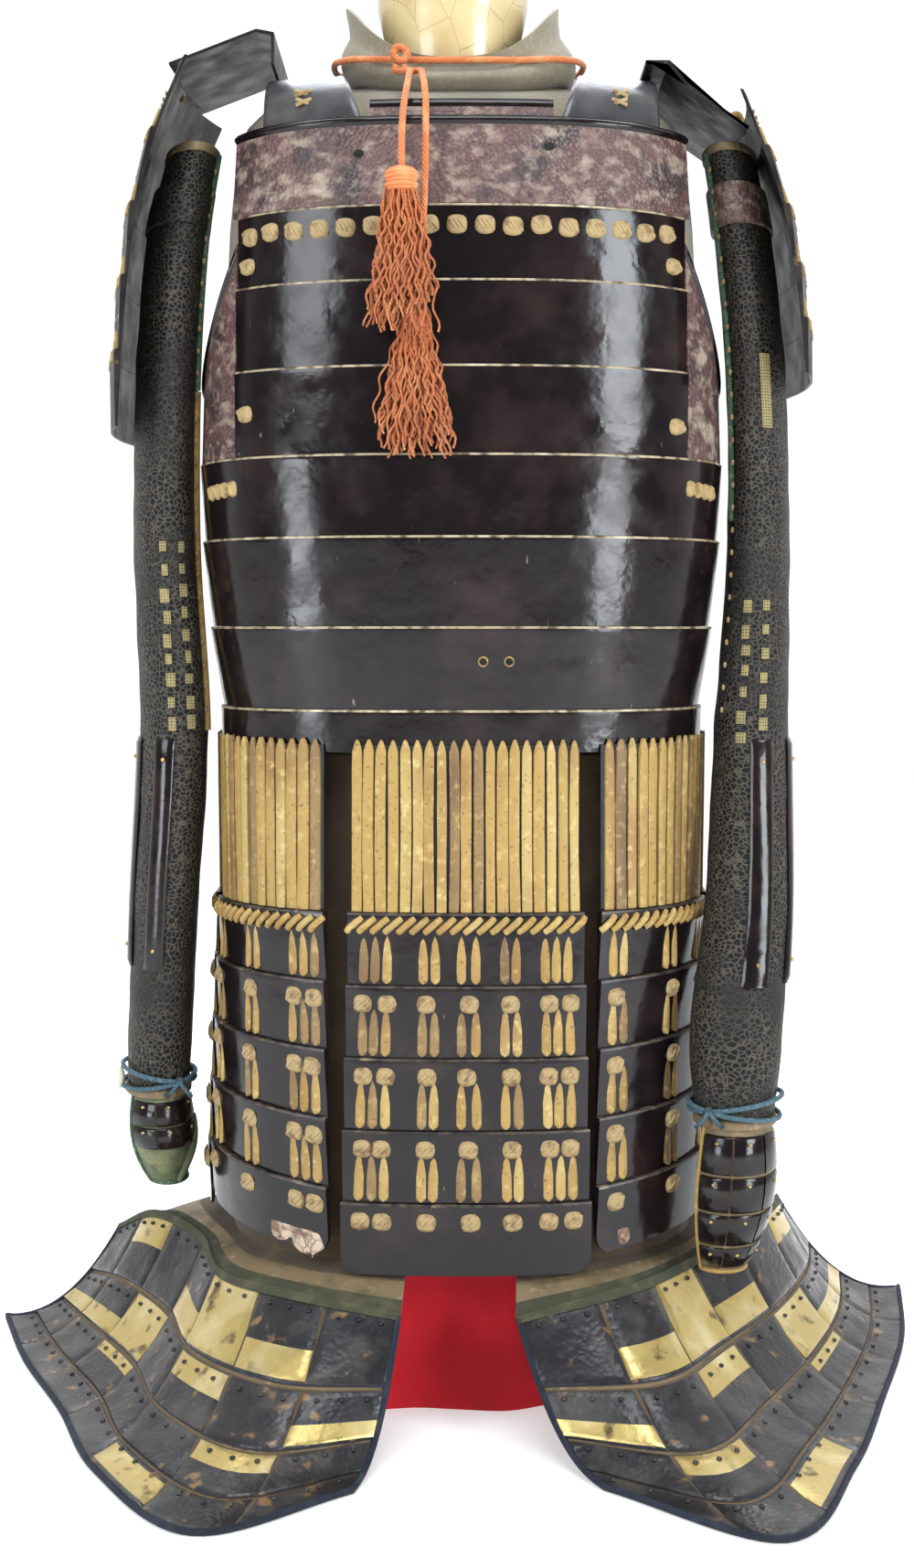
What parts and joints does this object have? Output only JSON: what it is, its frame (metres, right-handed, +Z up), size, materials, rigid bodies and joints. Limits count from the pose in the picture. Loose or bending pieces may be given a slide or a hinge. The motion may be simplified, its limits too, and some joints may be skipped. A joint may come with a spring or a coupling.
{
  "type": "lamellar armour on a dress form",
  "caption": "Laced and riveted body armour with mail sleeves, shoulder guards, a skirt of laced lames and a thigh apron, worn by a limbless dress form on a cloth-covered stand.",
  "frame": {"origin": "centre of the stand's flat underside, on the floor", "axes": "+Z up, -Y out of the chest towards the viewer, +X to the viewer's right"},
  "size_m": [0.6956, 0.4855, 0.99],
  "materials": {
    "lacquer": "gloss black-brown lacquer, chipped at the edges",
    "aged_lacquer": "worn black lacquer",
    "grained_leather": "wrinkled purple-brown leather, worn pale in places",
    "smoked_leather": "tan smoked leather strips",
    "mail": "dark iron mail sewn on dark cloth",
    "apron_cloth": "brown cloth with leather and green cloth bands",
    "apron_plate": "lacquered leather plates, partly gilded and worn",
    "form_cloth": "khaki wool cloth",
    "red_cloth": "plain red cloth",
    "ivory": "ivory paint with fine cracks",
    "silk": "orange braided silk"
  },
  "bodies": {
    "root": {"apron_flap_left": "apron_cloth", "apron_flap_right": "apron_cloth", "apron_plates_left_a": "apron_plate", "apron_plates_left_b": "apron_plate", "apron_plates_left_c": "apron_plate", "apron_plates_left_d": "apron_plate", "apron_plates_right_a": "apron_plate", "apron_plates_right_b": "apron_plate", "apron_plates_right_c": "apron_plate", "apron_plates_right_d": "apron_plate", "armpit_plate_left": "grained_leather", "armpit_plate_right": "grained_leather", "back_lames": "lacquer", "back_plate": "grained_leather", "chest_plate": "grained_leather", "cord_knot": "silk", "form_body": "form_cloth", "form_collar": "form_cloth", "form_neck": "ivory", "form_stand": "red_cloth", "front_lame_1": "lacquer", "front_lame_2": "lacquer", "front_lame_3": "lacquer", "front_lame_4": "lacquer", "front_lame_5": "lacquer", "front_lame_6": "lacquer", "front_lame_7": "lacquer", "hand_guard_left": "lacquer", "hand_guard_right": "lacquer", "hanging_strips_back_left": "smoked_leather", "hanging_strips_back_right": "smoked_leather", "hanging_strips_front": "smoked_leather", "hanging_strips_front_left": "smoked_leather", "hanging_strips_front_right": "smoked_leather", "hanging_strips_side_left": "smoked_leather", "hanging_strips_side_right": "smoked_leather", "neck_cord": "silk", "shoulder_guard_left": "lacquer", "shoulder_guard_right": "lacquer", "shoulder_strap_left": "aged_lacquer", "shoulder_strap_right": "aged_lacquer", "shoulder_wing_left": "lacquer", "shoulder_wing_right": "lacquer", "sleeve_left": "mail", "sleeve_right": "mail", "tassel_cord_lower": "silk", "tassel_cord_upper": "silk", "tassel_lower": "silk", "tassel_upper": "silk", "tasset_back_left": "lacquer", "tasset_back_right": "lacquer", "tasset_front": "lacquer", "tasset_front_left": "lacquer", "tasset_front_right": "lacquer", "tasset_side_left": "lacquer", "tasset_side_right": "lacquer", "throat_plate": "grained_leather"}
  },
  "joints": []
}
